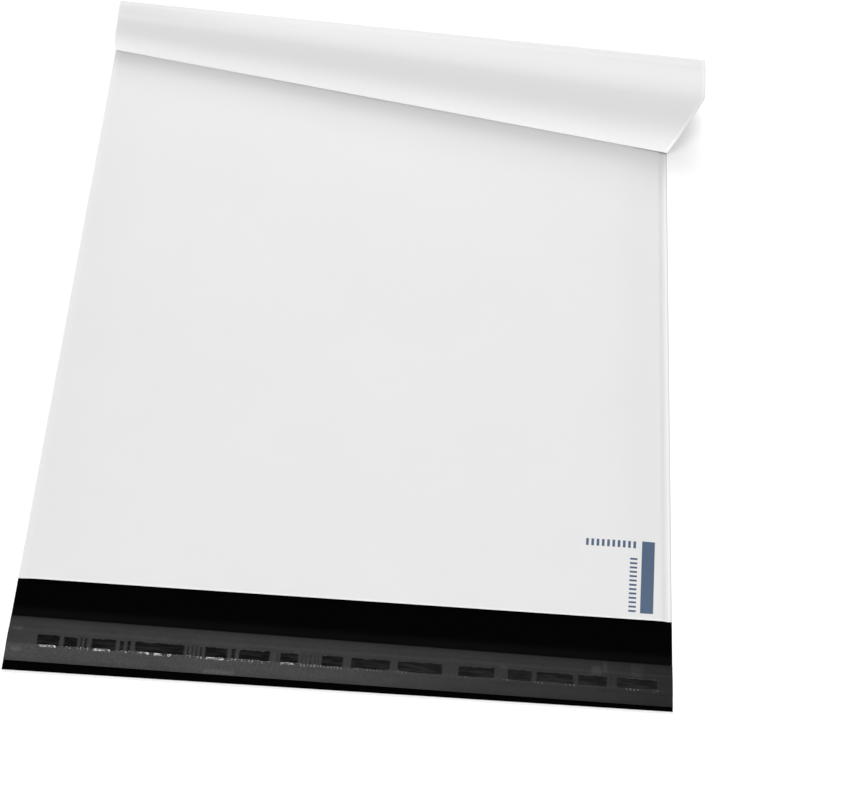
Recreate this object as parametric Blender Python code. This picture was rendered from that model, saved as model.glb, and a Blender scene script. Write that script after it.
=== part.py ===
"""Plain plastic-film mailer lying on its back, with its bottom end rolled up and over.

One sheet of film makes the whole pouch: back panel, bottom fold, front panel and, past the
mouth, the flap. The sides are welded. Along the flap run a bead of adhesive and, over it, a
release liner. The rolled end is a cone of film: small at the left edge, large at the right.

X runs across the pouch, Y from the flap's tip to the bottom fold, and Z up. The origin is on
the underside, on the pouch's centre line, midway along the length that lies on the table.
"""
import math
from collections import namedtuple

import bmesh
import bpy
from mathutils import Vector

# Film pouch, laid flat
POUCH_WIDTH = 0.3048
POUCH_LENGTH = 0.3937
FLAP_DEPTH = 0.0443
MOUTH_SKEW = 0.0015
BOTTOM_SKEW = 0.0120
FILM_THICKNESS = 0.00008
WELD_WIDTH = 0.0040
FOLD_CREASE = 0.0010

# Air between the two panels: a thin gap everywhere, and more in the middle
PANEL_GAP = 0.0003
AIR_LOFT = 0.0012
LOFT_RAMP = 0.0240
LOFT_MOUTH_SHARE = 0.15
LOFT_ROLL_SHARE = 0.30

# Rolled end at the left and at the right edge. The radius is the roll's own, the reach is the
# level distance from its crest to the film's end, and the lip is that end's height.
ROLL_RADIUS_LEFT = 0.0072
ROLL_RADIUS_RIGHT = 0.0130
ROLL_REACH_LEFT = 0.0203
ROLL_REACH_RIGHT = 0.0393
LIP_HEIGHT_LEFT = 0.0010
LIP_HEIGHT_RIGHT = 0.0014
ROLL_SWING_LEFT = 0.0016
ROLL_SWING_RIGHT = 0.0176

# Where along the roll its edges swing sideways: the share of the way up to the crest at
# which the swing is whole, and the share of the roll's length for which it then holds
SWING_RISE_SHARE = 0.70
SWING_HOLD_SHARE = 0.16

# Adhesive bead and release liner on the flap
LINER_WIDTH = 0.0206
LINER_FILM = 0.00005
LINER_CENTRE = 0.0137
LINER_LEAN = 0.0034
BEAD_WIDTH = 0.0054
BEAD_THICKNESS = 0.00015
BEAD_INSET_LEFT = 0.0133
BEAD_INSET_RIGHT = 0.0065
BEAD_END_STEPS = 6
SEAT_GAP = 0.0003
LINER_DRAPE = 0.0030

# Mesh steps
RAMP_COLUMNS = 3
PANEL_COLUMNS = 5
RAMP_ROWS = 3
PANEL_ROWS = 4
ROLL_ROWS = 28

# Stations along the film: the flap's tip, the mouth, where the roll starts, and the fold
TIP, MOUTH, LIFT, FOLD = -1.0, 0.0, 1.0, 2.0

RollEdge = namedtuple("RollEdge", "stretches length crest_share swing start_y edge_x")


def blend(low, high, share):
    """A value between two others."""
    return low + (high - low) * share


def smooth(share):
    """An ease from 0 to 1 with level ends."""
    share = min(max(share, 0.0), 1.0)
    return share * share * (3.0 - 2.0 * share)


def roll_edge(side, radius, reach, lip, swing):
    """The rolled film's course along one side edge, side being -1 at left and 1 at right."""
    fall = 2.0 * math.atan2(2.0 * radius - lip, reach)
    fall_radius = reach / math.sin(fall)
    stretches = ((math.pi * radius, math.pi), (fall * fall_radius, fall))
    length = sum(stretch[0] for stretch in stretches)
    film_end = FLAP_DEPTH + POUCH_LENGTH + 0.5 * side * BOTTOM_SKEW
    crest_share = math.pi * radius / length
    return RollEdge(stretches, length, crest_share, swing, film_end - length,
                    0.5 * side * POUCH_WIDTH)


LEFT = roll_edge(-1, ROLL_RADIUS_LEFT, ROLL_REACH_LEFT, LIP_HEIGHT_LEFT, ROLL_SWING_LEFT)
RIGHT = roll_edge(1, ROLL_RADIUS_RIGHT, ROLL_REACH_RIGHT, LIP_HEIGHT_RIGHT, ROLL_SWING_RIGHT)
BACK_OF_LEFT = LEFT.start_y + ROLL_RADIUS_LEFT
REST_Y = 0.5 * BACK_OF_LEFT


def course(stretches, distance):
    """How far along and how high a line is after some distance on arcs end to end."""
    along, up, heading = 0.0, 0.0, 0.0
    for length, turn in stretches:
        step = min(distance, length)
        distance -= step
        radius = length / turn
        turned = heading + step / radius
        along += radius * (math.sin(turned) - math.sin(heading))
        up += radius * (math.cos(heading) - math.cos(turned))
        heading = turned
    return along, up


def swing_share(edge, share):
    """How much of its sideways swing a roll's edge has at a share of its length."""
    hold_end = edge.crest_share + SWING_HOLD_SHARE
    rise = smooth(share / (SWING_RISE_SHARE * edge.crest_share))
    fall = min(max((share - hold_end) / (1.0 - hold_end), 0.0), 1.0)
    return rise * (1.0 - fall)


def edge_point(edge, share):
    """A point of the rolled film on one side edge, at a share of the roll's length."""
    along, up = course(edge.stretches, share * edge.length)
    x = edge.edge_x + edge.swing * swing_share(edge, share)
    return Vector((x, edge.start_y + along, up))


def outer_point(across, station):
    """A point of the film's outer face, across being 0 at left and 1 at right."""
    if station >= LIFT:
        share = station - LIFT
        return edge_point(LEFT, share).lerp(edge_point(RIGHT, share), across)
    x = POUCH_WIDTH * (across - 0.5)
    mouth_y = FLAP_DEPTH - MOUTH_SKEW * (across - 0.5)
    if station < MOUTH:
        return Vector((x, mouth_y * (station - TIP), 0.0))
    return Vector((x, blend(mouth_y, blend(LEFT.start_y, RIGHT.start_y, across), station), 0.0))


def inward(across, station, step=0.0005):
    """The direction from the film's outer face to its inner face."""
    if station <= LIFT:
        return Vector((0.0, 0.0, 1.0))
    low, high = max(across - step, 0.0), min(across + step, 1.0)
    before, after = station - step, min(station + step, FOLD)
    crosswise = outer_point(high, station) - outer_point(low, station)
    lengthwise = outer_point(across, after) - outer_point(across, before)
    return crosswise.cross(lengthwise).normalized()


def film_point(across, station, rise):
    """A point at some height over the film's outer face, in the part's own frame."""
    point = outer_point(across, station) + inward(across, station) * rise
    return point - Vector((0.0, REST_Y, 0.0))


def panel_air(across, station):
    """The air between the panels, which is gone at the side edges."""
    from_edge = POUCH_WIDTH * min(across, 1.0 - across)
    if from_edge < 0.5 * WELD_WIDTH:
        return 0.0
    sideways = smooth((from_edge - WELD_WIDTH) / LOFT_RAMP)
    lengthwise = smooth(station / LOFT_MOUTH_SHARE) * smooth((LIFT - station) / LOFT_ROLL_SHARE)
    return PANEL_GAP + AIR_LOFT * sideways * lengthwise


def column_places():
    """Places across the film: the edge, the weld, the ramp of the air gap, and the panel."""
    ramp = [WELD_WIDTH + LOFT_RAMP * i / RAMP_COLUMNS for i in range(RAMP_COLUMNS + 1)]
    near = [offset / POUCH_WIDTH for offset in [0.0] + ramp]
    first, last = near[-1], 1.0 - near[-1]
    middle = [blend(first, last, i / PANEL_COLUMNS) for i in range(1, PANEL_COLUMNS)]
    return near + middle + [1.0 - place for place in reversed(near)]


def pouch_stations():
    """Stations from the mouth to the fold, and the index where the pocket ends."""
    rise = [LOFT_MOUTH_SHARE * i / RAMP_ROWS for i in range(RAMP_ROWS)]
    fall_start = LIFT - LOFT_ROLL_SHARE
    flat = [blend(LOFT_MOUTH_SHARE, fall_start, i / PANEL_ROWS) for i in range(PANEL_ROWS)]
    fall = [blend(fall_start, LIFT, i / RAMP_ROWS) for i in range(RAMP_ROWS)]
    pocket_end = FOLD - FOLD_CREASE / RIGHT.length
    rolled = [blend(LIFT, pocket_end, i / ROLL_ROWS) for i in range(ROLL_ROWS + 1)]
    return rise + flat + fall + rolled + [FOLD]


def add_rows(mesh, places, stations, rise):
    """Rows of vertices at a height over the film, which may be a number or a function."""
    rows = []
    for station in stations:
        row = []
        for across in places:
            height = rise(across, station) if callable(rise) else rise
            row.append(mesh.verts.new(film_point(across, station, height)))
        rows.append(row)
    return rows


def add_fan(mesh, corners):
    """A face with any number of corners, as triangles from its first one."""
    for second, third in zip(corners[1:], corners[2:]):
        mesh.faces.new((corners[0], second, third))


def add_strip(mesh, first, second):
    """Triangles between two lines of vertices of the same length."""
    for i in range(len(first) - 1):
        mesh.faces.new((first[i], first[i + 1], second[i + 1]))
        mesh.faces.new((first[i], second[i + 1], second[i]))


def add_skin(mesh, rows):
    """Triangles over rows of vertices."""
    for first, second in zip(rows, rows[1:]):
        add_strip(mesh, first, second)


def column(rows, index):
    """One vertex of each row."""
    return [row[index] for row in rows]


def make_object(name, mesh, material):
    """An object from a closed bmesh, with its faces pointing outwards."""
    bmesh.ops.recalc_face_normals(mesh, faces=mesh.faces)
    data = bpy.data.meshes.new(name)
    mesh.to_mesh(data)
    mesh.free()
    data.materials.append(material)
    data.shade_smooth()
    data.set_sharp_from_angle(angle=math.radians(40.0))
    piece = bpy.data.objects.new(name, data)
    bpy.context.scene.collection.objects.link(piece)
    return piece


def make_material(name, colour, roughness, alpha=1.0):
    """A plain finish."""
    material = bpy.data.materials.new(name)
    material.use_nodes = True
    shader = material.node_tree.nodes["Principled BSDF"]
    shader.inputs["Base Color"].default_value = (*colour, 1.0)
    shader.inputs["Roughness"].default_value = roughness
    shader.inputs["Metallic"].default_value = 0.0
    shader.inputs["Alpha"].default_value = alpha
    return material


def front_rise(across, station):
    """The front panel's outer face, over the back panel's."""
    return 2.0 * FILM_THICKNESS + panel_air(across, station)


def pocket_top(across, station):
    """The front panel's inner face, over the back panel's outer one."""
    return FILM_THICKNESS + panel_air(across, station)


def make_pouch(material):
    """The folded and side-welded film, hollow and open at the mouth, with its flap."""
    mesh = bmesh.new()
    places = column_places()
    stations = pouch_stations()
    inner = places[1:-1]

    outside = add_rows(mesh, places, [TIP] + stations, 0.0)
    flap = add_rows(mesh, places, [TIP, MOUTH], FILM_THICKNESS)
    front = add_rows(mesh, places, stations, front_rise)
    top = add_rows(mesh, inner, stations[:-1], pocket_top)
    floor = [flap[1][1:-1]] + add_rows(mesh, inner, stations[1:-1], FILM_THICKNESS)

    add_skin(mesh, outside)
    add_skin(mesh, flap)
    add_skin(mesh, front)
    add_skin(mesh, top)
    add_skin(mesh, floor)
    add_strip(mesh, outside[0], flap[0])
    add_strip(mesh, outside[-1], front[-1])
    add_strip(mesh, floor[-1], top[-1])
    add_strip(mesh, top[0], front[0][1:-1])
    for end in (0, -1):
        inward_end = 1 if end == 0 else -2
        add_strip(mesh, column(outside[:2], end), column(flap, end))
        add_strip(mesh, column(outside[2:], end), column(front[1:], end))
        add_strip(mesh, column(floor, end), column(top, end))
        add_fan(mesh, (outside[1][end], outside[2][end], front[1][end], front[0][end],
                       flap[1][end]))
        add_fan(mesh, (flap[1][end], front[0][end], front[0][inward_end], top[0][end],
                       flap[1][inward_end]))
    return make_object("pouch", mesh, material)


def liner_lean(x):
    """How far a strip along the flap has crept towards the tip at a place across it."""
    return -LINER_LEAN * x / POUCH_WIDTH


def make_adhesive(material):
    """The flat bead of adhesive on the flap's inner face, with round ends."""
    mesh = bmesh.new()
    half = 0.5 * BEAD_WIDTH
    first = -0.5 * POUCH_WIDTH + BEAD_INSET_LEFT + half
    last = 0.5 * POUCH_WIDTH - BEAD_INSET_RIGHT - half
    outline = []
    for centre, start in ((last, -0.5 * math.pi), (first, 0.5 * math.pi)):
        for i in range(BEAD_END_STEPS + 1):
            angle = start + math.pi * i / BEAD_END_STEPS
            x = centre + half * math.cos(angle)
            y = LINER_CENTRE + liner_lean(x) + half * math.sin(angle) - REST_Y
            outline.append(mesh.verts.new((x, y, FILM_THICKNESS + SEAT_GAP)))
    base = mesh.faces.new(outline)
    lifted = bmesh.ops.extrude_face_region(mesh, geom=[base])["geom"]
    lifted = [part for part in lifted if isinstance(part, bmesh.types.BMVert)]
    bmesh.ops.translate(mesh, verts=lifted, vec=(0.0, 0.0, BEAD_THICKNESS))
    return make_object("adhesive_strip", mesh, material)


def liner_section():
    """The liner's underside across its width: flat, up over the bead, and flat again."""
    low = FILM_THICKNESS + SEAT_GAP
    high = low + BEAD_THICKNESS + SEAT_GAP
    foot = 0.5 * BEAD_WIDTH + SEAT_GAP + LINER_DRAPE
    brow = 0.5 * BEAD_WIDTH + SEAT_GAP
    half = 0.5 * LINER_WIDTH
    right = [(brow, high), (blend(brow, foot, 0.5), blend(high, low, 0.5)), (foot, low), (half, low)]
    return [(-y, z) for y, z in reversed(right)] + right


def make_liner(material):
    """The release liner, a strip of thin film from side to side of the flap."""
    mesh = bmesh.new()
    rings = []
    for x in (-0.5 * POUCH_WIDTH, 0.5 * POUCH_WIDTH):
        y_centre = LINER_CENTRE + liner_lean(x) - REST_Y
        under = [(x, y_centre + y, z) for y, z in liner_section()]
        over = [(x, y, z + LINER_FILM) for x, y, z in reversed(under)]
        rings.append([mesh.verts.new(point) for point in under + over])
    add_strip(mesh, rings[0] + rings[0][:1], rings[1] + rings[1][:1])
    for ring in rings:
        count = len(ring)
        for i in range(count // 2 - 1):
            add_fan(mesh, (ring[i], ring[i + 1], ring[count - 2 - i], ring[count - 1 - i]))
    return make_object("release_liner", mesh, material)


def main():
    """Clears the scene and makes the mailer."""
    for old in list(bpy.data.objects):
        bpy.data.objects.remove(old, do_unlink=True)
    make_pouch(make_material("white_film", (0.82, 0.82, 0.83), 0.45))
    make_adhesive(make_material("hot_melt", (0.02, 0.02, 0.02), 0.30))
    make_liner(make_material("liner_film", (0.06, 0.06, 0.06), 0.35))


main()
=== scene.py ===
"""Looks of a plastic-film mailer: its white film, black inner side, adhesive and liner.

The mailer lies on its back on a pale floor, its flap towards the camera and its bottom end
rolled up and over. Every size is in metres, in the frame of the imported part.
"""

import logging
import math
from dataclasses import dataclass, field
from enum import Enum
from typing import Any, Optional, Union

import bmesh
import bpy
import numpy as np
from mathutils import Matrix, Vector


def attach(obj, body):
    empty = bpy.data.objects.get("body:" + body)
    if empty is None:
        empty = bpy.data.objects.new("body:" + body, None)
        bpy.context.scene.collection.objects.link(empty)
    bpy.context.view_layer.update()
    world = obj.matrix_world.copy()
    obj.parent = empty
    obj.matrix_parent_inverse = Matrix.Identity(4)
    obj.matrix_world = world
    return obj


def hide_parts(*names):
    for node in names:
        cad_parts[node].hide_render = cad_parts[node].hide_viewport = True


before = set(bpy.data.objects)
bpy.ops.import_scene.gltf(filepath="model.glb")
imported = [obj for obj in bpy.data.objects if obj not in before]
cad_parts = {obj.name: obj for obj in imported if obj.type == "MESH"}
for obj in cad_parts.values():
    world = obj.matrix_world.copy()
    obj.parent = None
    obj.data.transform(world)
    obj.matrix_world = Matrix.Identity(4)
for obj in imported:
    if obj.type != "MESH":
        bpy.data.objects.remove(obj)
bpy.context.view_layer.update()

LOG = logging.getLogger("mailer")

MM = 0.001

# Stations along the film: the flap's tip, the mouth, where the roll lifts, and the fold
TIP, MOUTH, LIFT, FOLD = -1.0, 0.0, 1.0, 2.0

# The small share of the film over which its slopes are measured
PROBE = 0.0005
# Edges sharper than this are shaded as edges
SHARP_ANGLE = math.radians(40.0)

# Shares of the rolled film and its grey there: painted shade and light along the roll,
# darker up to the crest and on the falling face, lighter just past the crest
ROLL_PAINTED_SHADE = ((0.28, 0.578), (0.40, 0.582), (0.47, 0.672), (0.53, 0.693), (0.61, 0.675),
              (0.67, 0.627), (0.80, 0.618), (0.90, 0.658), (0.97, 0.668))

Number = Union[int, float]


def smooth(share: np.ndarray) -> np.ndarray:
    """Eases from 0 to 1 with level ends."""
    share = np.clip(share, 0.0, 1.0)
    return share * share * (3.0 - 2.0 * share)


def add_to_scene(name: str, data: Any) -> bpy.types.Object:
    """Makes an object with this data and links it to the scene."""
    made = bpy.data.objects.new(name, data)
    bpy.context.scene.collection.objects.link(made)
    return made


class Face(Enum):
    """The three sides of the film that show, in the order of the pouch's materials."""

    BACK = 0
    FRONT = 1
    INSIDE = 2


class Gleam(Enum):
    """How the edge of a run of adhesive catches the light."""

    SOLID = "solid"
    SPECKS = "specks"


@dataclass(frozen=True)
class RollEdge:
    """The rolled film's course along one side edge of the pouch.

    Attributes:
        stretches: Length and turn of each arc, in order.
        swing: How far the edge leans to the right by the crest.
        end_swing: How far it leans to the right where the film ends.
        start_y: Where the film leaves the table, from the flap's tip.
        edge_x: The side edge's place on the table.
        crest_share: The share of the length at which the crest is reached.
    """

    stretches: tuple[tuple[float, float], ...]
    swing: float
    end_swing: float
    start_y: float
    edge_x: float
    crest_share: float

    @property
    def length(self) -> float:
        """The film's length in the roll."""
        return sum(stretch[0] for stretch in self.stretches)


@dataclass
class FilmCourse:
    """Where the pouch's film runs: flat on the table, then over and round in the roll.

    Pairs of values are for the left edge and for the right one. The film is longer by skew
    at the right. A reach is the level distance from the roll's crest to the film's end,
    and a lip that end's height. A swing is how far an edge leans to the right: it is
    whole at the share swing_rise of the way up to the crest, holds for the share
    swing_hold of the roll's length, and passes into end_swing at the film's end.
    """

    width: float = 304.8 * MM
    length: float = 393.7 * MM
    flap: float = 44.3 * MM
    mouth_skew: float = 1.5 * MM
    skew: float = 12.0 * MM
    radii: tuple[float, float] = (7.2 * MM, 13.0 * MM)
    reaches: tuple[float, float] = (20.3 * MM, 39.3 * MM)
    lips: tuple[float, float] = (1.0 * MM, 1.4 * MM)
    swings: tuple[float, float] = (0.9 * MM, 17.6 * MM)
    end_swings: tuple[float, float] = (-0.9 * MM, 0.0)
    swing_rise: float = 0.7
    swing_hold: float = 0.20
    left: RollEdge = field(init=False)
    right: RollEdge = field(init=False)

    def __post_init__(self) -> None:
        """Works out both side edges of the roll."""
        self.left = self._roll_edge(0)
        self.right = self._roll_edge(1)

    @property
    def rest_y(self) -> float:
        """The frame's origin, from the flap's tip."""
        return 0.5 * (self.left.start_y + self.radii[0])

    def _roll_edge(self, side: int) -> RollEdge:
        """The course of one edge.

        Args:
            side: 0 at left and 1 at right.

        Returns:
            The edge's arcs, and where they start.
        """
        radius, reach = self.radii[side], self.reaches[side]
        fall = 2.0 * math.atan2(2.0 * radius - self.lips[side], reach)
        fall_radius = reach / math.sin(fall)
        stretches = ((math.pi * radius, math.pi), (fall * fall_radius, fall))
        total = sum(stretch[0] for stretch in stretches)
        film_end = self.flap + self.length + (side - 0.5) * self.skew
        return RollEdge(stretches, self.swings[side], self.end_swings[side], film_end - total,
                        (side - 0.5) * self.width, math.pi * radius / total)

    def _edge_points(self, edge: RollEdge, shares: np.ndarray) -> np.ndarray:
        """Points of one rolled edge.

        Args:
            edge: The edge to follow.
            shares: Shares of the roll's length, from 0 where it lifts to 1 at the fold.

        Returns:
            One point for each share.
        """
        left_over = shares * edge.length
        along, up = np.zeros_like(shares), np.zeros_like(shares)
        heading = np.zeros_like(shares)
        for length, turn in edge.stretches:
            step = np.clip(left_over, 0.0, length)
            left_over = left_over - step
            radius = length / turn
            turned = heading + step / radius
            along = along + radius * (np.sin(turned) - np.sin(heading))
            up = up + radius * (np.cos(heading) - np.cos(turned))
            heading = turned
        hold_end = edge.crest_share + self.swing_hold
        fall = np.clip((shares - hold_end) / (1.0 - hold_end), 0.0, 1.0)
        rise = smooth(shares / (self.swing_rise * edge.crest_share))
        x = edge.edge_x + edge.swing * rise * (1.0 - fall) + edge.end_swing * fall
        return np.stack([x, edge.start_y + along, up], -1)

    def outer(self, across: np.ndarray, stations: np.ndarray) -> np.ndarray:
        """Points of the film's outer face.

        Args:
            across: Places from 0 at the left edge to 1 at the right one.
            stations: Places along the film, from the tip to the fold.

        Returns:
            An array of points with a row for each station.
        """
        across, stations = np.broadcast_arrays(across[None, :], stations[:, None])
        rolled = np.clip(stations - LIFT, 0.0, 1.0)
        left = self._edge_points(self.left, rolled)
        right = self._edge_points(self.right, rolled)
        points = left + (right - left) * across[..., None]
        lift_y = self.left.start_y + (self.right.start_y - self.left.start_y) * across
        mouth_y = self.flap - self.mouth_skew * (across - 0.5)
        panel_y = mouth_y + (lift_y - mouth_y) * stations
        flap_y = mouth_y * (stations - TIP)
        flat_y = np.where(stations < MOUTH, flap_y, panel_y)
        points[..., 1] = np.where(stations < LIFT, flat_y, points[..., 1])
        points[..., 1] -= self.rest_y
        return points

    def inward(self, across: np.ndarray, stations: np.ndarray) -> np.ndarray:
        """Directions from the outer face to the inner one, at the same places as outer."""
        low, high = np.clip(across - PROBE, 0.0, 1.0), np.clip(across + PROBE, 0.0, 1.0)
        before = np.clip(stations - PROBE, LIFT, FOLD)
        after = np.clip(stations + PROBE, LIFT + PROBE, FOLD)
        crosswise = self.outer(high, stations) - self.outer(low, stations)
        lengthwise = self.outer(across, after) - self.outer(across, before)
        normal = np.cross(crosswise, lengthwise)
        normal /= np.linalg.norm(normal, axis=-1, keepdims=True)
        flat = (stations <= LIFT)[:, None, None]
        return np.where(flat, np.array([0.0, 0.0, 1.0]), normal)

    def points(self, across: np.ndarray, stations: np.ndarray, rise: np.ndarray) -> np.ndarray:
        """Points at some height over the film's outer face."""
        return self.outer(across, stations) + self.inward(across, stations) * rise[..., None]


class MeshMaker:
    """Gathers vertices and faces, and turns them into one object."""

    def __init__(self) -> None:
        """Starts with an empty mesh."""
        self.vertices: list[np.ndarray] = []
        self.marks: list[np.ndarray] = []
        self.faces: list[tuple[int, ...]] = []
        self.sides: list[int] = []
        self.count = 0

    def add(self, points: np.ndarray, marks: Optional[np.ndarray] = None) -> np.ndarray:
        """Adds a grid or row of points.

        Args:
            points: The points.
            marks: For each point, its place across and along the film.

        Returns:
            The points' numbers, in the same layout.
        """
        flat = points.reshape(-1, 3)
        numbers = np.arange(self.count, self.count + len(flat)).reshape(points.shape[:-1])
        self.vertices.append(flat)
        if marks is not None:
            self.marks.append(marks.reshape(-1, 3))
        self.count += len(flat)
        return numbers

    def strip(self, first: np.ndarray, second: np.ndarray, side: int = 0) -> None:
        """Joins two lines of vertices of the same length with quads."""
        quads = zip(first[:-1].tolist(), first[1:].tolist(), second[1:].tolist(),
                    second[:-1].tolist())
        for quad in quads:
            self.faces.append(quad)
            self.sides.append(side)

    def skin(self, grid: np.ndarray, side: int = 0) -> None:
        """Covers a grid of vertices with quads."""
        for first, second in zip(grid[:-1], grid[1:]):
            self.strip(first, second, side)

    def corners(self, numbers: tuple[int, ...], side: int = 0) -> None:
        """Adds one face with any number of corners."""
        self.faces.append(tuple(int(number) for number in numbers))
        self.sides.append(side)

    def build(self, name: str, materials: list[bpy.types.Material]) -> bpy.types.Object:
        """Makes the object, with its faces pointing outwards.

        Args:
            name: The piece's name.
            materials: One material for each side number.

        Returns:
            The object, at the origin and in the scene.
        """
        data = bpy.data.meshes.new(name)
        data.from_pydata(np.concatenate(self.vertices).tolist(), [], self.faces)
        data.polygons.foreach_set("material_index", self.sides)
        if self.marks:
            layer = data.attributes.new("film_place", "FLOAT_VECTOR", "POINT")
            layer.data.foreach_set("vector", np.concatenate(self.marks).ravel())
        mesh = bmesh.new()
        mesh.from_mesh(data)
        bmesh.ops.recalc_face_normals(mesh, faces=mesh.faces)
        mesh.to_mesh(data)
        mesh.free()
        for material in materials:
            data.materials.append(material)
        data.shade_smooth()
        data.set_sharp_from_angle(angle=SHARP_ANGLE)
        return add_to_scene(name, data)


class Signal:
    """A node's output socket, with the arithmetic that adds Math nodes."""

    def __init__(self, maker: "TreeMaker", socket: bpy.types.NodeSocket) -> None:
        """Wraps a socket of the maker's tree."""
        self.maker = maker
        self.socket = socket

    def _math(self, operation: str, *values: Union["Signal", Number]) -> "Signal":
        """Adds one Math node on these values."""
        sockets = dict(enumerate(values))
        return self.maker.add("ShaderNodeMath", {"operation": operation}, sockets)

    def __add__(self, other: Union["Signal", Number]) -> "Signal":
        """The sum."""
        return self._math("ADD", self, other)

    __radd__ = __add__

    def __sub__(self, other: Union["Signal", Number]) -> "Signal":
        """The difference."""
        return self._math("SUBTRACT", self, other)

    def __rsub__(self, other: Number) -> "Signal":
        """The difference from a number."""
        return self._math("SUBTRACT", other, self)

    def __mul__(self, other: Union["Signal", Number]) -> "Signal":
        """The product."""
        return self._math("MULTIPLY", self, other)

    __rmul__ = __mul__

    def __pow__(self, other: Number) -> "Signal":
        """The power."""
        return self._math("POWER", self, other)

    def __abs__(self) -> "Signal":
        """The absolute value."""
        return self._math("ABSOLUTE", self)

    def fraction(self) -> "Signal":
        """What is left after the whole number below."""
        return self._math("FRACT", self)

    def at_most(self, other: Union["Signal", Number]) -> "Signal":
        """The smaller of two values."""
        return self._math("MINIMUM", self, other)

    def step_down(self, low: float, high: float) -> "Signal":
        """1 below low and 0 above high, with an ease between."""
        return 1.0 - self.step_up(low, high)

    def step_up(self, low: float, high: float) -> "Signal":
        """0 below low and 1 above high, with an ease between."""
        values = {"Value": self, "From Min": low, "From Max": high}
        return self.maker.add("ShaderNodeMapRange", {"interpolation_type": "SMOOTHSTEP"}, values)

    def within(self, low: float, high: float, edge: float) -> "Signal":
        """1 between low and high and 0 outside, with an edge of some width."""
        return self.step_up(low - edge, low + edge) * self.step_down(high - edge, high + edge)


class TreeMaker:
    """Adds nodes to a node tree."""

    def __init__(self, tree: bpy.types.NodeTree) -> None:
        """Works on this tree."""
        self.tree = tree

    def add(
        self,
        kind: str,
        settings: Optional[dict[str, Any]] = None,
        sockets: Optional[dict[Union[int, str], Any]] = None,
        output: Union[int, str] = 0,
    ) -> Signal:
        """Adds any node.

        Args:
            kind: The node's type.
            settings: Its own properties, set first. "stops" are a ramp's places and greys.
            sockets: Values or signals for its inputs, by name or number.
            output: Which output to return.

        Returns:
            The chosen output.
        """
        node = self.tree.nodes.new(kind)
        for name, value in (settings or {}).items():
            if name == "stops":
                self._set_stops(node.color_ramp, value)
            else:
                setattr(node, name, value)
        for key, value in (sockets or {}).items():
            if isinstance(value, Signal):
                self.tree.links.new(value.socket, node.inputs[key])
            else:
                node.inputs[key].default_value = value
        return Signal(self, node.outputs[output])

    def split(self, vector: Signal) -> tuple[Signal, Signal, Signal]:
        """The X, Y and Z of a vector."""
        node = self.add("ShaderNodeSeparateXYZ", sockets={0: vector}).socket.node
        return tuple(Signal(self, output) for output in node.outputs)

    @staticmethod
    def _set_stops(ramp: bpy.types.ColorRamp, stops: list[tuple[float, float]]) -> None:
        """Gives a ramp its grey stops."""
        while len(ramp.elements) < len(stops):
            ramp.elements.new(0.5)
        for element, (place, level) in zip(ramp.elements, stops):
            element.position = place
            element.color = grey(level)


class FinishMaker(TreeMaker):
    """A material under construction, with the patterns that the finishes share."""

    def __init__(self, name: str) -> None:
        """Makes a new material that holds one Principled shader."""
        self.material = bpy.data.materials.new(name)
        self.material.use_nodes = True
        super().__init__(self.material.node_tree)
        self.shader = self.tree.nodes["Principled BSDF"]

    def set(self, **values: Any) -> None:
        """Sets the shader's inputs, whose names have underscores for spaces."""
        for name, value in values.items():
            socket = self.shader.inputs[name.replace("_", " ")]
            if isinstance(value, Signal):
                self.tree.links.new(value.socket, socket)
            else:
                socket.default_value = value

    def place(self) -> tuple[Signal, Signal, Signal]:
        """The X, Y and Z of the point on the piece."""
        return self.split(self.add("ShaderNodeTexCoord", output="Object"))

    def carried(self, name: str) -> tuple[Signal, Signal]:
        """The first two numbers of a vector that the piece's mesh carries."""
        where = self.add("ShaderNodeAttribute", {"attribute_name": name}, output="Vector")
        return self.split(where)[:2]

    def carried_number(self, name: str) -> Signal:
        """A number that the piece's mesh carries."""
        return self.add("ShaderNodeAttribute", {"attribute_name": name}, output="Fac")

    def noise(self, scale: float, detail: float = 2.0, stretch: Optional[tuple] = None) -> Signal:
        """A noise on the piece's own coordinates, of about 0 to 1."""
        where = self.add("ShaderNodeTexCoord", output="Object")
        if stretch is not None:
            where = self.add("ShaderNodeMapping", sockets={0: where, "Scale": stretch})
        return self.add("ShaderNodeTexNoise", sockets={"Vector": where, "Scale": scale,
                                                       "Detail": detail}, output="Fac")

    def mix(self, share: Signal, first: Any, second: Any) -> Signal:
        """A colour between two others."""
        values = {0: share, 6: first, 7: second}
        return self.add("ShaderNodeMix", {"data_type": "RGBA"}, values, output=2)

    def bump(self, height: Signal, distance: float, strength: float = 1.0) -> Signal:
        """A normal from a height."""
        values = {"Height": height, "Distance": distance, "Strength": strength}
        return self.add("ShaderNodeBump", sockets=values)


def grey(value: float) -> tuple[float, float, float, float]:
    """A grey with full alpha."""
    return (value, value, value, 1.0)


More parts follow.
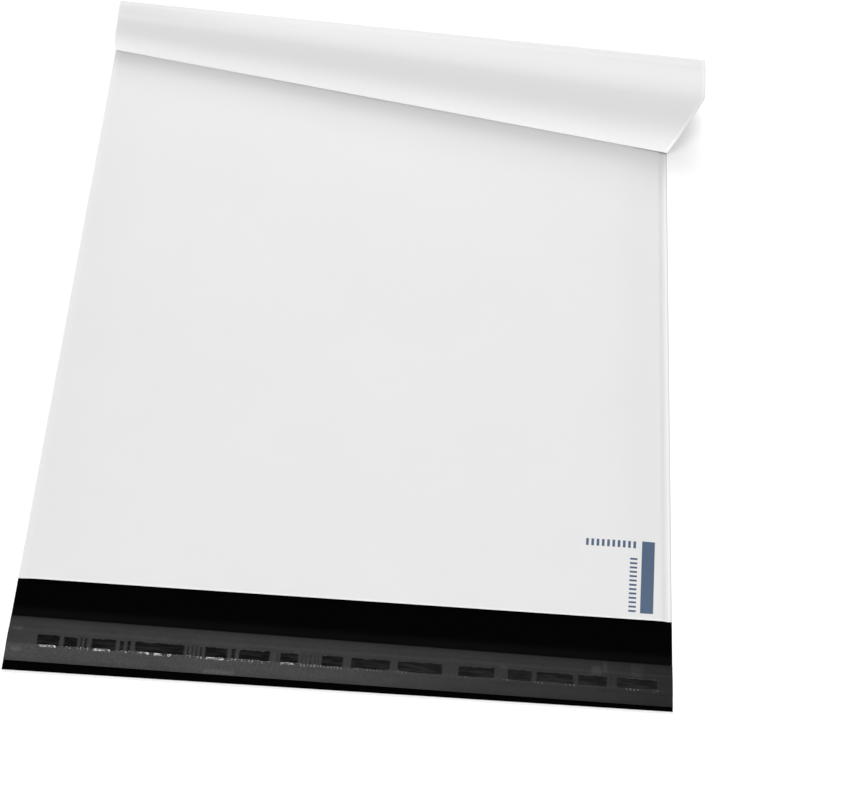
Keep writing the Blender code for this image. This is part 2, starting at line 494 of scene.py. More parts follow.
@dataclass(frozen=True)
class Print:
    """The plain blue marks printed by the right edge of the front panel, near the mouth.

    Attributes:
        ink: The marks' colour.
        bar: The bar's left, right, near and far sides.
        ticks: The sides of the column of short ticks beside the bar.
        tick_pitch: From one tick to the next.
        squares: The sides of the row of small squares.
        square_pitch: From one square to the next.
        slant: How far the print leans to the right for each metre up the panel.
        edge: How soft the bar's edges are.
        tick_share: The inked share of the pitch of the ticks.
        square_share: The inked share of the pitch of the squares.
        cell_edge: How soft a mark's edges are, as a share of its pitch.
    """

    ink: tuple[float, float, float, float]
    bar: tuple[float, float, float, float]
    ticks: tuple[float, float, float, float]
    tick_pitch: float
    squares: tuple[float, float, float, float]
    square_pitch: float
    slant: float = 0.03
    edge: float = 0.08 * MM
    tick_share: float = 0.46
    square_share: float = 0.52
    cell_edge: float = 0.03

    def mask(self, maker: FinishMaker) -> Signal:
        """1 where there is ink and 0 elsewhere."""
        x, y, _ = maker.place()
        x = x - self.slant * (y - self.bar[2])
        bar = self._box(x, y, self.bar)
        rungs = ((y - self.ticks[2]) * (1.0 / self.tick_pitch)).fraction()
        ticks = self._box(x, y, self.ticks)
        ticks = ticks * rungs.within(0.0, self.tick_share, self.cell_edge)
        cells = ((x - self.squares[0]) * (1.0 / self.square_pitch)).fraction()
        squares = self._box(x, y, self.squares)
        squares = squares * cells.within(0.0, self.square_share, self.cell_edge)
        return (bar + ticks + squares).at_most(1.0)

    def _box(self, x: Signal, y: Signal, sides: tuple[float, float, float, float]) -> Signal:
        """1 inside a rectangle."""
        left, right, near, far = sides
        return x.within(left, right, self.edge) * y.within(near, far, self.edge)


@dataclass(frozen=True)
class WhiteFilm:
    """The white outer side of the co-extruded film: satin, with a faint mottle, and painted shade
    and highlights on the roll and along the welds where given.

    Attributes:
        name: The material's name.
        width: The film's width, by which the welds find the side edges.
        white: The flat film's grey.
        roughness: The film's roughness.
        weld_highlight: What the painted highlight along the right weld adds to the grey, and what
            the left one adds.
        roll_shading: Shares of the rolled film and the grey at each: painted shade and light along
            the roll.
        shading_lean: How much later those shares come at the right end than at the left.
        shading_fade: The share of the panel over which the flat film's grey passes into theirs.
        end_dim: How much painted shade darkens the roll just past its crest at its left end.
        end_fade: Where across the film that darkening fades, and has gone.
        end_shares: Where along the roll it fades, and has gone.
        printed: The marks on this side.
        right_highlight: The sides and softness of the right weld's painted highlight, from the
            edge.
        left_highlight: Where the left weld's painted highlight starts to fade, and where it ends.
        mottle: The white of the mottle's darker parts, as a share.
        grain_height: The height of the film's fine grain.
    """

    name: str
    width: float
    white: float = 0.663
    roughness: float = 0.46
    weld_highlight: tuple[float, float] = (0.075, 0.05)
    roll_shading: tuple[tuple[float, float], ...] = ()
    shading_lean: float = 0.03
    shading_fade: float = 0.02
    end_dim: float = 0.09
    end_fade: tuple[float, float] = (0.0, 0.26)
    end_shares: tuple[float, float] = (0.54, 0.64)
    printed: Optional[Print] = None
    right_highlight: tuple[float, float, float] = (0.7 * MM, 1.7 * MM, 0.4 * MM)
    left_highlight: tuple[float, float] = (0.3 * MM, 1.2 * MM)
    mottle: float = 0.985
    grain_height: float = 0.004 * MM

    def make(self) -> bpy.types.Material:
        """Builds the material."""
        maker = FinishMaker(self.name)
        across, station = maker.carried("film_place")
        cloud = maker.noise(14.0, 3.0)
        grain = maker.noise(900.0, 2.0)
        colour = maker.mix(cloud.step_up(0.3, 0.7), grey(self.white * self.mottle),
                           grey(self.white))
        if self.roll_shading:
            # Painted shade and light along the roll: its grey follows the given ramp instead of
            # the flat film's.
            share = station - LIFT - self.shading_lean * (across - 0.5)
            painted_roll_shade = maker.add("ShaderNodeValToRGB", {"stops": list(self.roll_shading)}, {0: share})
            # Painted shade just past the crest at the roll's left end.
            left_end_shade = across.step_down(*self.end_fade) * share.step_down(*self.end_shares)
            painted_roll_shade = maker.mix(left_end_shade * self.end_dim, painted_roll_shade, grey(0.0))
            colour = maker.mix(station.step_up(LIFT, LIFT + self.shading_fade), colour, painted_roll_shade)
        # Painted highlight along the weld ridges: the film is whitened there to stand in for the
        # light they catch.
        right = (1.0 - across) * self.width
        left = across * self.width
        pale = right.within(*self.right_highlight) * self.weld_highlight[0]
        pale = pale + left.step_down(*self.left_highlight) * self.weld_highlight[1]
        colour = maker.mix(pale * (1.0 / (1.0 - self.white)), colour, grey(1.0))
        if self.printed is not None:
            colour = maker.mix(self.printed.mask(maker), colour, self.printed.ink)
        maker.set(Base_Color=colour, Roughness=self.roughness + 0.06 * cloud,
                  Normal=maker.bump(grain, self.grain_height, 0.6))
        return maker.material


@dataclass(frozen=True)
class BlackFilm:
    """The black inner side of the film, dull and very dark, with a painted sheen beside the liner.

    Attributes:
        name: The material's name.
        liner_edge: Y of the liner's upper edge on the centre line.
        lean: How far that edge comes nearer for each metre to the right.
        black: The film's grey.
        painted_sheen: What the painted sheen adds to it.
        sheen_width: How far the painted sheen reaches.
        roughness: The film's roughness.
    """

    name: str
    liner_edge: float
    lean: float
    black: float = 0.0012
    painted_sheen: float = 0.0046
    sheen_width: float = 7.0 * MM
    roughness: float = 0.62

    def make(self) -> bpy.types.Material:
        """Builds the material."""
        maker = FinishMaker(self.name)
        x, y, _ = maker.place()
        cloud = maker.noise(30.0, 3.0)
        # Painted sheen: a band above the liner's upper edge is lightened to stand in for light on
        # the film there.
        beyond = y - self.liner_edge + self.lean * x
        half = 0.5 * self.sheen_width
        painted_sheen = beyond.within(0.0, half, half) * beyond.step_up(-1.0 * MM, 0.0)
        painted_sheen = painted_sheen * (0.6 + 0.8 * cloud)
        colour = maker.mix(painted_sheen * 0.75, grey(self.black), grey(self.painted_sheen + self.black))
        maker.set(Base_Color=colour, Roughness=self.roughness + 0.08 * cloud,
                  Specular_IOR_Level=0.0)
        return maker.material


@dataclass(frozen=True)
class LinerFilm:
    """The release liner, thin and satin, dark grey over the black flap.

    The greys run across the strip, from its lower edge by the flap's tip to its upper one.

    Attributes:
        name: The material's name.
        greys: Places across the strip and the grey at each.
        far_share: How dark the right half is beside the left one.
        far_fade: Where along the strip the one passes into the other.
        end_dim: How much darker the last part at the right is.
        end_fade: Where along the strip that part starts, and is darkest.
        lower_dim: How much darker the lower part is in the right half.
        lower_fade: Where along the strip that starts, and is whole.
        lower_part: Where across the strip the lower part starts to fade, and where it ends.
        smears: Start, end, and lower and upper side of each paler patch, as shares.
        smear_gain: How much paler a smear is.
        smear_edges: How soft its edges are along and across the strip.
        glitter_gain: How much paler the painted glitter grains are in the lower part at the left.
        glitter_grains: The values of the noise between which a grain comes out.
        glitter_fade: Where along the strip the grains fade, and have gone.
        bump_height: The height of the film's unevenness.
    """

    name: str
    greys: tuple[tuple[float, float], ...] = ((0.0, 0.034), (0.12, 0.043), (0.36, 0.046),
                                              (0.42, 0.033), (0.62, 0.030), (0.86, 0.029),
                                              (0.96, 0.020), (1.0, 0.011))
    far_share: float = 0.66
    far_fade: tuple[float, float] = (0.25, 0.95)
    end_dim: float = 0.36
    end_fade: tuple[float, float] = (0.86, 1.0)
    lower_dim: float = 0.30
    lower_fade: tuple[float, float] = (0.50, 0.80)
    lower_part: tuple[float, float] = (0.30, 0.42)
    smear_gain: float = 0.6
    smear_edges: tuple[float, float] = (0.002, 0.05)
    glitter_gain: float = 0.8
    glitter_grains: tuple[float, float] = (0.48, 0.74)
    glitter_fade: tuple[float, float] = (0.35, 0.75)
    bump_height: float = 0.12 * MM
    smears: tuple[tuple[float, float, float, float], ...] = (
        (0.878, 0.893, 0.60, 0.86), (0.896, 0.902, 0.72, 0.99), (0.938, 0.957, 0.66, 0.99),
        (0.430, 0.442, 0.60, 0.66), (0.741, 0.752, 0.62, 0.70), (0.969, 0.976, 0.28, 0.38),
        (0.30, 0.345, 0.02, 0.10), (0.006, 0.020, 0.70, 0.76), (0.008, 0.024, 0.24, 0.30),
    )

    def make(self) -> bpy.types.Material:
        """Builds the material."""
        maker = FinishMaker(self.name)
        along, across, _ = maker.split(maker.add("ShaderNodeUVMap", {"uv_map": "strip"}))
        cloud = maker.noise(26.0, 3.0, (1.0, 2.0, 1.0))
        blotch = maker.noise(90.0, 3.0, (1.0, 2.6, 1.0))
        speck = maker.noise(800.0, 2.0)
        grain = maker.noise(1700.0, 2.0, (1.0, 1.8, 1.0))
        base = maker.add("ShaderNodeValToRGB", {"stops": list(self.greys)}, {0: across})
        lower = across.step_down(*self.lower_part)
        shade = 1.0 - (1.0 - self.far_share) * along.step_up(*self.far_fade)
        shade = shade * (1.0 - self.end_dim * along.step_up(*self.end_fade))
        shade = shade * (1.0 - self.lower_dim * lower * along.step_up(*self.lower_fade))
        shade = shade * (0.62 + 0.42 * cloud + 0.34 * blotch) * (0.80 + 0.40 * speck)
        soft_along, soft_across = self.smear_edges
        for left, right, low, high in self.smears:
            patch = along.within(left, right, soft_along) * across.within(low, high, soft_across)
            shade = shade * (1.0 + self.smear_gain * patch * blotch.step_up(0.2, 0.6))
        # Painted glitter: paler grains in the lower part at the left stand in for fine highlights.
        glitter = grain.step_up(*self.glitter_grains) * lower
        glitter = glitter * along.step_down(*self.glitter_fade)
        shade = shade * (1.0 + self.glitter_gain * glitter)
        level = maker.add("ShaderNodeCombineColor", sockets={0: shade, 1: shade, 2: shade})
        colour = maker.add("ShaderNodeMix", {"data_type": "RGBA", "blend_type": "MULTIPLY"},
                           {0: 1.0, 6: base, 7: level}, output=2)
        maker.set(Base_Color=colour, Roughness=0.34 + 0.12 * cloud, Specular_IOR_Level=0.05,
                  Normal=maker.bump(blotch, self.bump_height, 0.4))
        return maker.material


@dataclass(frozen=True)
class Adhesive:
    """Hot-melt adhesive seen through the liner where it has wetted it, nearly black.

    Attributes:
        name: The material's name.
        dark: The grey along a run's upper edge.
        pale: The grey of its streaks.
        bare: The liner's own grey, which a run's borders fade into.
        border: How wide that fade is.
        ragged_brow: How much rougher it is along the upper edge than at the sides.
        streaks_from: How far below a run's upper edge its streaks start, and are whole.
        right_lift: How much paler the runs in the right half are.
        right_part: Where along X that starts, and is whole.
        bump_height: The height of the streaks.
    """

    name: str
    dark: float = 0.0052
    pale: float = 0.0190
    bare: float = 0.036
    border: float = 0.8 * MM
    ragged_brow: float = 2.2
    streaks_from: tuple[float, float] = (0.6 * MM, 2.6 * MM)
    right_lift: float = 0.25
    right_part: tuple[float, float] = (-20.0 * MM, 40.0 * MM)
    bump_height: float = 0.1 * MM

    def make(self) -> bpy.types.Material:
        """Builds the material."""
        maker = FinishMaker(self.name)
        x, _, _ = maker.place()
        streak = maker.noise(260.0, 3.0, (0.5, 3.0, 1.0))
        ragged = maker.noise(430.0, 4.0)
        across, along = maker.carried("spot_place")
        width, depth = maker.carried_number("spot_width"), maker.carried_number("spot_depth")
        side = (0.5 - abs(across)) * width + (ragged - 0.5) * self.border
        brow = (0.5 - along) * depth + (ragged - 0.5) * self.ragged_brow * self.border
        body = side.step_up(0.0, self.border) * brow.step_up(0.0, self.border)
        tone = streak.step_up(0.35, 0.75) * (0.25 + 0.75 * brow.step_up(*self.streaks_from))
        tone = (tone + self.right_lift * x.step_up(*self.right_part)).at_most(1.0)
        inside = maker.mix(tone, grey(self.dark), grey(self.pale))
        maker.set(Base_Color=maker.mix(body, grey(self.bare), inside),
                  Roughness=0.40 + 0.2 * streak, Specular_IOR_Level=0.0,
                  Normal=maker.bump(streak, self.bump_height, 0.5))
        return maker.material


@dataclass(frozen=True)
class Squeeze:
    """Clear, glossy adhesive squeezed out along the lower edge of the runs.

    Attributes:
        name: The material's name.
        body: The grey under the gloss.
        uneven: The least and the greatest share of that grey.
        roughness: The gloss's roughness at the left.
        dulling: Where along X the gloss starts to fade, and where it has gone.
        dull_roughness: How much rougher it is there.
    """

    name: str
    body: float = 0.03
    roughness: float = 0.16
    uneven: tuple[float, float] = (0.6, 1.5)
    dulling: tuple[float, float] = (-25.0 * MM, 15.0 * MM)
    dull_roughness: float = 0.60

    def make(self) -> bpy.types.Material:
        """Builds the material."""
        maker = FinishMaker(self.name)
        x, _, _ = maker.place()
        cloud = maker.noise(500.0, 2.0)
        gloss = x.step_down(*self.dulling)
        dark, pale = (grey(self.body * share) for share in self.uneven)
        maker.set(Base_Color=maker.mix(cloud, dark, pale),
                  Roughness=(self.roughness + 0.08 * cloud
                             + self.dull_roughness * (1.0 - gloss)),
                  Specular_IOR_Level=1.0, Coat_Weight=gloss, Coat_Roughness=self.roughness)
        return maker.material


@dataclass
class Pouch:
    """The film pouch: back panel, bottom fold, front panel, side welds and flap.

    The gap is the air between the panels, reached gap_ramp inside the ridge's foot, and the
    loft the further air in the middle. A ridge runs along each weld, with its crest and
    foot measured from the side edge. The left_ values are what the left edge has of the
    right one's. At the mouth the front panel lifts, over the last mouth_reach. The panel's
    waviness is a product of waves, each given by its turns across and along and its start.
    """

    course: FilmCourse
    film: float = 0.08 * MM
    weld: float = 4.0 * MM
    crease: float = 1.0 * MM
    gap: float = 0.45 * MM
    gap_ramp: float = 2.6 * MM
    left_ramp: float = 2.4
    loft: float = 1.2 * MM
    loft_ramp: float = 24.0 * MM
    loft_mouth: float = 0.15
    loft_roll: float = 0.30
    ridge: float = 0.36 * MM
    left_ridge: float = 0.5
    ridge_crest: float = 0.55 * MM
    ridge_foot: float = 2.4 * MM
    mouth_lift: float = 0.26 * MM
    mouth_reach: float = 1.4 * MM
    wave: float = 0.12 * MM
    wave_turns: tuple[tuple[float, float, float], ...] = ((21.0, 5.0, 0.0), (13.0, 9.0, 1.0))
    crest_steps: int = 3
    foot_steps: int = 4
    gap_steps: int = 5
    loft_steps: int = 8
    flap_rows: int = 12
    mouth_rows: int = 8
    panel_rows: int = 70
    roll_rows: int = 96
    panel_columns: int = 44

    def from_edge(self, across: np.ndarray) -> np.ndarray:
        """The distance to the nearer side edge."""
        return self.course.width * np.minimum(across, 1.0 - across)

    def air(self, across: np.ndarray, stations: np.ndarray) -> np.ndarray:
        """The air between the two panels."""
        inset = self.from_edge(across)[None, :]
        sideways = smooth((inset - self.weld) / self.loft_ramp)
        along = stations[:, None]
        lengthwise = smooth(along / self.loft_mouth) * smooth((LIFT - along) / self.loft_roll)
        ramp = self.gap_ramp * np.where(across < 0.5, self.left_ramp, 1.0)[None, :]
        gap = self.gap * smooth((inset - self.ridge_foot) / ramp)
        return gap + self.loft * sideways * lengthwise

    def relief(self, across: np.ndarray, stations: np.ndarray) -> np.ndarray:
        """The front panel's own relief: weld ridges, a lifted mouth and a slight waviness."""
        inset = self.from_edge(across)[None, :]
        along = np.clip(stations, MOUTH, FOLD)[:, None]
        outer = smooth(inset / self.ridge_crest)
        inner = np.clip((self.ridge_foot - inset) / (self.ridge_foot - self.ridge_crest), 0.0, 1.0)
        ridge = self.ridge * np.minimum(outer, inner)
        ridge = ridge * np.where(across < 0.5, self.left_ridge, 1.0)[None, :]
        from_mouth = along * (self.course.left.start_y - self.course.flap)
        mouth = self.mouth_lift * smooth(1.0 - from_mouth / self.mouth_reach)
        inside = smooth((inset - self.weld) / self.loft_ramp)
        x = self.course.width * across[None, :]
        wave = 1.0
        for sideways, lengthwise, start in self.wave_turns:
            wave = wave * np.sin(sideways * x + lengthwise * along + start)
        wave = self.wave * wave * inside * smooth(along / self.loft_mouth)
        return ridge + mouth * smooth(inset / self.weld) + wave

    def columns(self) -> np.ndarray:
        """Places across the film, close together at the welds."""
        ends = np.cumsum([0.0, self.ridge_crest, self.ridge_foot - self.ridge_crest,
                          self.gap_ramp, self.loft_ramp])
        steps = (self.crest_steps, self.foot_steps, self.gap_steps, self.loft_steps)
        parts = [np.linspace(low, high, count + 1)[1:]
                 for low, high, count in zip(ends[:-1], ends[1:], steps)]
        near = np.concatenate([ends[:1], *parts]) / self.course.width
        middle = np.linspace(near[-1], 1.0 - near[-1], self.panel_columns + 1)[1:-1]
        return np.concatenate([near, middle, 1.0 - near[::-1]])

    def stations(self) -> np.ndarray:
        """Stations from the mouth to the end of the pocket."""
        panel = self.course.left.start_y - self.course.flap
        mouth = np.linspace(0.0, self.mouth_reach, self.mouth_rows) / panel
        flat = np.linspace(mouth[-1], LIFT, self.panel_rows + 1)[1:-1]
        pocket_end = FOLD - self.crease / self.course.right.length
        rolled = np.linspace(LIFT, pocket_end, self.roll_rows + 1)
        return np.concatenate([mouth, flat, rolled])

    def build(self, materials: dict[Face, bpy.types.Material]) -> bpy.types.Object:
        """Makes the pouch, hollow and open at the mouth.

        Args:
            materials: The finish of each side of the film.

        Returns:
            The pouch as one closed mesh.
        """
        maker = MeshMaker()
        across, bag = self.columns(), self.stations()
        weld_columns = self.crest_steps + self.foot_steps
        inner = across[weld_columns:-weld_columns]
        flap = np.linspace(TIP, MOUTH, self.flap_rows)
        to_fold = np.append(bag, FOLD)
        back, front, inside = Face.BACK.value, Face.FRONT.value, Face.INSIDE.value

        def layer(places: np.ndarray, rows: np.ndarray, rise: np.ndarray) -> np.ndarray:
            """Adds one layer of the film, marked with its place on it."""
            wide, long = np.broadcast_arrays(places[None, :], rows[:, None])
            marks = np.stack([wide, long, np.zeros_like(wide)], -1)
            return maker.add(self.course.points(places, rows, rise), marks)

        def level(places: np.ndarray, rows: np.ndarray, height: float) -> np.ndarray:
            """The same height everywhere."""
            return np.full((len(rows), len(places)), height)

        under_rows = np.concatenate([flap[:-1], to_fold])
        outside = layer(across, under_rows, level(across, under_rows, 0.0))
        flap_top = layer(across, flap, level(across, flap, self.film))
        panel = layer(across, to_fold, 2.0 * self.film + self.air(across, to_fold)
                      + self.relief(across, to_fold))
        top = layer(inner, bag, self.film + self.air(inner, bag) + self.relief(inner, bag))
        floor = layer(inner, bag[1:], level(inner, bag[1:], self.film))
        floor = np.vstack([flap_top[-1:, weld_columns:-weld_columns], floor])

        maker.skin(outside, back)
        maker.skin(flap_top, inside)
        maker.skin(panel, front)
        maker.skin(top, inside)
        maker.skin(floor, inside)
        mouth_row = len(flap) - 1
        maker.strip(outside[0], flap_top[0], inside)
        maker.strip(outside[-1], panel[-1], back)
        maker.strip(floor[-1], top[-1], inside)
        maker.strip(top[0], panel[0, weld_columns:-weld_columns], front)
        for end in (0, -1):
            maker.strip(outside[:mouth_row + 1, end], flap_top[:, end], inside)
            maker.strip(outside[mouth_row + 1:, end], panel[1:, end], back)
            maker.strip(floor[:, end], top[:, end], inside)
            maker.corners((outside[mouth_row, end], outside[mouth_row + 1, end], panel[1, end],
                           panel[0, end], flap_top[-1, end]), back)
        for end, block in ((0, slice(weld_columns + 1)), (-1, slice(-1, -weld_columns - 2, -1))):
            under, over = flap_top[-1, block], panel[0, block]
            maker.strip(under[:-1], over[:-1], front)
            maker.corners((under[-2], under[-1], top[0, end], over[-1], over[-2]), front)
        return maker.build("film_pouch", [materials[face] for face in Face])


@dataclass(frozen=True)
class Spot:
    """One low pillow or wedge on the seal strip.

    Attributes:
        x: Its centre across the pouch.
        offset: Its centre's distance from the strip's centre line, towards the bottom.
        width: Its size across the pouch.
        depth: Its size along the pouch.
    """

    x: float
    offset: float
    width: float
    depth: float


@dataclass
class SealStrip:
    """The release liner on the flap, and the runs where it has wetted the adhesive.

    The liner loses the share taper of its width from the left end to the right one, and its
    centre line comes nearer to the flap's tip by lean. Its underside is seat over the
    table and step over the adhesive, with a drape beside it. Runs and gleams are given
    in millimetres from the adhesive's left end. The specks vary in size: each pair is
    the least share of the usual size, and the spread above it. Their places in that
    spread go round by speck_turns from one speck to the next.
    """

    course: FilmCourse
    width: float = 20.8 * MM
    taper: float = 0.09
    film: float = 0.05 * MM
    centre: float = 13.7 * MM
    lean: float = 3.4 * MM
    bead_width: float = 5.4 * MM
    bead_height: float = 0.15 * MM
    bead_inset: float = 13.3 * MM
    seat: float = 0.38 * MM
    step: float = 0.3 * MM
    drape: float = 3.0 * MM
    ripple: float = 0.05 * MM
    ripple_turns: tuple[tuple[float, float, float], ...] = (
        (190.0, 60.0, 0.0), (77.0, -300.0, 2.0),
    )
    run_height: float = 0.10 * MM
    gleam_depth: float = 1.0 * MM
    gleam_height: float = 0.30 * MM
    gleam_sink: float = 0.06 * MM
    runs: tuple[tuple[float, float], ...] = (
        (0.2, 11.2), (12.6, 19.4), (20.1, 21.5), (22.1, 23.8), (25.2, 37.0), (38.3, 40.7),
        (41.6, 43.8), (45.1, 68.5), (69.3, 70.5), (71.3, 72.4), (73.2, 74.3), (75.1, 76.6),
        (77.4, 88.2), (89.4, 91.9), (92.9, 107.6), (110.4, 111.3), (111.8, 120.7),
        (121.6, 122.6), (123.7, 124.4), (125.5, 126.5), (127.6, 128.4), (129.1, 129.9),
        (130.7, 141.2), (144.1, 162.8), (165.4, 186.4), (193.3, 210.6), (214.0, 214.7),
        (215.8, 227.6), (228.8, 246.5), (247.9, 261.9), (262.8, 264.3), (265.4, 285.0),
    )
    gleams: tuple[tuple[float, float, Gleam], ...] = (
        (1.0, 9.8, Gleam.SOLID), (12.3, 25.0, Gleam.SPECKS), (26.1, 34.8, Gleam.SOLID),
        (37.4, 45.6, Gleam.SPECKS), (46.6, 52.6, Gleam.SOLID), (54.0, 58.5, Gleam.SOLID),
        (60.6, 62.8, Gleam.SOLID), (63.4, 66.0, Gleam.SPECKS), (67.0, 77.0, Gleam.SPECKS),
        (77.9, 86.8, Gleam.SOLID), (88.0, 108.0, Gleam.SPECKS), (112.1, 118.9, Gleam.SOLID),
        (119.5, 141.0, Gleam.SPECKS), (145.5, 148.5, Gleam.SPECKS), (149.7, 159.0, Gleam.SPECKS),
        (163.7, 170.7, Gleam.SPECKS), (195.8, 198.2, Gleam.SPECKS), (213.6, 217.0, Gleam.SPECKS),
        (228.0, 232.7, Gleam.SPECKS), (241.9, 247.5, Gleam.SPECKS), (269.5, 276.5, Gleam.SPECKS),
        (283.2, 285.8, Gleam.SPECKS),
    )
    speck_pitch: float = 1.5 * MM
    speck_width: float = 0.9 * MM
    speck_widths: tuple[float, float] = (0.7, 0.6)
    speck_depths: tuple[float, float] = (0.65, 0.45)
    speck_turns: tuple[float, float] = (0.618, 0.38)
    liner_grid: tuple[int, int] = (241, 41)

    @property
    def start(self) -> float:
        """X of the adhesive's left end."""
        return -0.5 * self.course.width + self.bead_inset

    def centre_y(self, x: np.ndarray) -> np.ndarray:
        """The strip's centre line, in the part's frame."""
        return self.centre - self.lean * x / self.course.width - self.course.rest_y

    def width_at(self, x: np.ndarray) -> np.ndarray:
        """The liner's width, which shrinks a little to the right."""
        return self.width * (1.0 - self.taper * x / self.course.width)

    def surface(self, offset: np.ndarray) -> np.ndarray:
        """The liner's underside at a distance from its centre line."""
        brow = 0.5 * self.bead_width + self.step
        over_bead = smooth((brow + self.drape - np.abs(offset)) / self.drape)
        return self.seat + (self.bead_height + self.step) * over_bead

    def build_liner(self, material: bpy.types.Material) -> bpy.types.Object:
        """Makes the liner, with its UV map along and across the strip."""
        maker = MeshMaker()
        x, share = (np.linspace(-0.5, 0.5, count) for count in self.liner_grid)
        grid_x, grid_share = np.meshgrid(x * self.course.width, share)
        grid_offset = grid_share * self.width_at(grid_x)
        grid_y = self.centre_y(grid_x) + grid_offset
        ripple = np.full_like(grid_x, self.ripple)
        for along, across, start in self.ripple_turns:
            ripple *= np.sin(along * grid_x + across * grid_offset + start)
        low = self.surface(grid_offset)
        high = low + self.film + ripple + self.ripple
        under = maker.add(np.stack([grid_x, grid_y, low], -1))
        over = maker.add(np.stack([grid_x, grid_y, high], -1))
        maker.skin(under)
        maker.skin(over)
        for row in (0, -1):
            maker.strip(under[row], over[row])
            maker.strip(under[:, row], over[:, row])
        piece = maker.build("liner_strip", [material])
        self._map_strip(piece)
        return piece

    def _map_strip(self, piece: bpy.types.Object) -> None:
        """Gives the liner its UV map."""
        layer = piece.data.uv_layers.new(name="strip")
        for loop in piece.data.loops:
            place = piece.data.vertices[loop.vertex_index].co
            along = place.x / self.course.width + 0.5
            offset = place.y - float(self.centre_y(np.array(place.x)))
            layer.data[loop.index].uv = (along, offset / self.width_at(place.x) + 0.5)

    def run_spots(self) -> list[Spot]:
        """The dark runs of wetted adhesive."""
        found = []
        for low, high in self.runs:
            middle = self.start + 0.5 * (low + high) * MM
            found.append(Spot(middle, 0.0, (high - low) * MM, self.bead_width))
        return found

    def gleam_spots(self) -> list[Spot]:
        """The glossy edges of the runs, in front of them."""
        offset = -0.5 * self.bead_width - 0.4 * self.gleam_depth
        found = []
        for low, high, gleam in self.gleams:
            left, right = self.start + low * MM, self.start + high * MM
            if gleam is Gleam.SOLID:
                found.append(Spot(0.5 * (left + right), offset, right - left, self.gleam_depth))
                continue
            count = max(int((right - left) / self.speck_pitch), 1)
            pitch = (right - left) / count
            for i in range(count):
                wide, deep = (least + spread * ((i * turn) % 1.0) for (least, spread), turn in
                              zip((self.speck_widths, self.speck_depths), self.speck_turns))
                found.append(Spot(left + pitch * (i + 0.5), offset, self.speck_width * wide,
                                  self.gleam_depth * deep))
        return found

    def build_spots(self, name: str, spots: list[Spot], height: float, wedge: float,
                    material: bpy.types.Material) -> bpy.types.Object:
        """Makes a set of spots with Geometry Nodes, one shape on each point.

        Args:
            name: The piece's name.
            spots: Where the shapes go, and their sizes.
            height: The height of each.
            wedge: 0 for low pillows and 1 for wedges that slope down towards the tip.
            material: Their finish.

        Returns:
            The piece, as a plain mesh.
        """
        points = bpy.data.meshes.new(f"{name}_points")
        places = []
        for spot in spots:
            middle = float(self.centre_y(np.array(spot.x)))
            top = float(self.surface(np.array(spot.offset))) + self.film + self.ripple
            places.append((spot.x, middle + spot.offset, top - self.gleam_sink * wedge))
        points.from_pydata(places, [], [])
        for key in ("width", "depth"):
            layer = points.attributes.new(f"spot_{key}", "FLOAT", "POINT")
            layer.data.foreach_set("value", [getattr(spot, key) for spot in spots])
        carrier = add_to_scene(name, points)
        values = {"Height": height, "Wedge": wedge, "Material": material,
                  "Lean": -math.atan2(self.lean, self.course.width)}
        return SpotTree(f"{name}_tree").apply(carrier, values)


